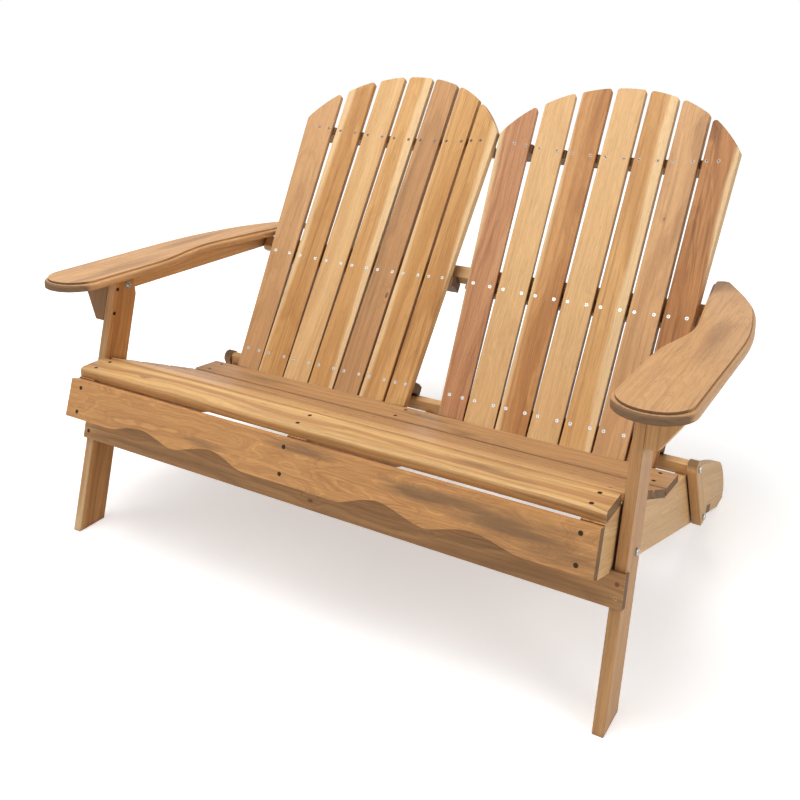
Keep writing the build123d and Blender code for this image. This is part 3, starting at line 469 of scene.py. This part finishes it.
# Two short struts swing between the rails and the lower beam and carry the backs. The left one
# is a dark board, the right one golden.
strut_way = (0, -0.067, 0.134)
for side, tones in (("left", walnut), ("right", gold)):
    oiled_wood("strut_" + side, tones, strut_way, sideways, streaks=0.35, heart=(0.04, 0.1))


# Each back is seven fanned slats of mixed boards, from reddish heartwood to pale sapwood, on
# three dark cleats. The slats' grain follows their fan.
back_lean = 34.5
back_face = side_way(180 - back_lean)
# How far each slat leans away from the next one, sideways for every measure up
fan_step = (78.9 - 72.8) / 613
middle_slat = 3
# From left to right, each slat's tones, streaks, sapwood and knots
slat_looks = {
    "left": (
        (tan, 0.42, (0, 0), ()),
        (gold, 0.45, (0.018, 1), ((0.1, -0.004, 0.002),)),
        (honey, 0.2, (0, 0), ()),
        (gold, 0.3, (-0.016, -1), ()),
        (brown, 0.4, (0, 0), ((-0.171, -0.024, 0.005), (-0.14, -0.012, 0.003))),
        (gold, 0.4, (0.026, 1), ()),
        (gold, 0.5, (-0.022, -1), ()),
    ),
    "right": (
        (russet, 0.4, (0.02, 1), ()),
        (honey, 0.25, (0, 0), ()),
        (amber, 0.35, (0.022, 1), ((-0.023, 0.003, 0.0015),)),
        (honey, 0.25, (0, 0), ()),
        (gold, 0.4, (-0.012, -1), ()),
        (tan, 0.45, (0, 0), ((0.118, 0.01, 0.004),)),
        (brown, 0.55, (-0.033, -1), ()),
    ),
}
# The bounds of each slat's own heart beside and behind, tilt, shift and wander
least = (-0.06, 0.05, -1.2, -3, 0.015)
most = (0.06, 0.2, 1.2, 3, 0.05)
chance = np.random.default_rng(12)
for side, looks in slat_looks.items():
    for index, (tones, streaks, sap, knots) in enumerate(looks):
        _, rise_rear, rise_up = side_way(90 - back_lean)
        way = (fan_step * (index - middle_slat), rise_rear, rise_up)
        beside, behind, tilt, shift, wander = chance.uniform(least, most)
        oiled_wood(f"back_{side}_slat_{index + 1}", tones, way, back_face, streaks=streaks,
                   sap=sap, heart=(beside, behind), tilt=tilt, shift=shift, wander=wander,
                   knots=knots)
    # The cleats' dark walnut tone is partly painted shade, as they sit behind the slats
    for row in ("lower", "middle", "upper"):
        oiled_wood(f"back_{side}_cleat_{row}", walnut, sideways, back_face, streaks=0.4,
                   heart=(0.06, 0.12))


# Two beams behind the slats tie the backs together: the middle one also takes the arms' bolts,
# and the lower one the struts'.
oiled_wood("back_beam_middle", cream, sideways, back_face, streaks=0.2, heart=(0.06, 0.12))
oiled_wood("back_beam_lower", gold, sideways, back_face, streaks=0.4, heart=(0.07, 0.1))


# Screws, bolts, nuts and washers are zinc-plated steel: bright where new, dull and a little
# brown on the backs' top row. On seat, apron, stretcher and corbels their dark is painted
# shade.
def zinc(name, colour, rough, bare=()):
    """Plated steel with a mottled sheen, as the crystals of the zinc leave it. bare gives the
    lower and the upper screw's colour at the stretcher's right end, where the plating has come
    off."""
    crystal_scale = (900, 900, 900)
    aged_from, aged_to = 0.6, 0.75
    rim_shade_width = 0.0009
    dirt_and_shade_colour = tone_of(92, 72, 54)
    material, tree = new_material(name)
    spot = put(tree, "ShaderNodeTexCoord").outputs["Object"]
    rightward, _, height = put(tree, "ShaderNodeSeparateXYZ", {0: spot}).outputs
    mottle = stretched_noise(tree, spot, crystal_scale, 3, 0.6)
    aged = spread(tree, height, aged_from, aged_to, 0.0, 0.9)
    stain_and_shade = maths(tree, "MULTIPLY", spread(tree, mottle, 0.2, 0.45), aged)
    duller = tuple(0.72 * channel for channel in colour[:3]) + (1,)
    tint = mixed(tree, spread(tree, mottle, 0.3, 0.7), colour, duller)
    if bare:
        low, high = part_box("stretcher_screws")
        upper = maths(tree, "GREATER_THAN", height, (low[2] + high[2]) / 2)
        right_end = maths(tree, "GREATER_THAN", rightward, 0.0)
        tint = mixed(tree, right_end, tint, mixed(tree, upper, *bare))
    # Painted shade: a dark ring round each head, as in the shade of its countersink
    rim = put(tree, "ShaderNodeGroup", {"Width": rim_shade_width}, node_tree=rub).outputs["Rub"]
    stain_and_shade = maths(tree, "MAXIMUM", stain_and_shade, maths(tree, "MULTIPLY", rim, 0.95))
    tint = mixed(tree, stain_and_shade, tint, dirt_and_shade_colour)
    bump = put(tree, "ShaderNodeBump", {"Height": mottle, "Strength": 0.12, "Distance": 0.0002})
    shader = put(tree, "ShaderNodeBsdfPrincipled",
                 {"Base Color": tint, "Metallic": 1.0, "Normal": bump.outputs[0],
                  "Roughness": spread(tree, mottle, 0.3, 0.7, rough, rough + 0.16)})
    put(tree, "ShaderNodeOutputMaterial", {0: shader.outputs[0]})
    return material


# Painted shade: the dark colour of the screws that sit deep in countersunk recesses
recess_shade_colour = tone_of(74, 58, 46)
brassy, reddish = tone_of(176, 142, 92), tone_of(142, 88, 66)
bright_zinc = zinc("bright_zinc", tone_of(228, 228, 224), 0.34)
grey_zinc = zinc("grey_zinc", tone_of(200, 200, 196), 0.3)
shade_dark_zinc = zinc("shade_dark_zinc", recess_shade_colour, 0.4)
shaded_and_bare_steel = zinc("shaded_and_bare_steel", recess_shade_colour, 0.4, bare=(brassy, reddish))
finishes = {"back_screws": bright_zinc, "seat_screws": shade_dark_zinc, "apron_screws": shade_dark_zinc,
            "stretcher_screws": shaded_and_bare_steel, "bracket_screws": shade_dark_zinc}
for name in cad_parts:
    if name.endswith(("screws", "bolts", "nuts", "washers")):
        dress(name, finishes.get(name, grey_zinc))
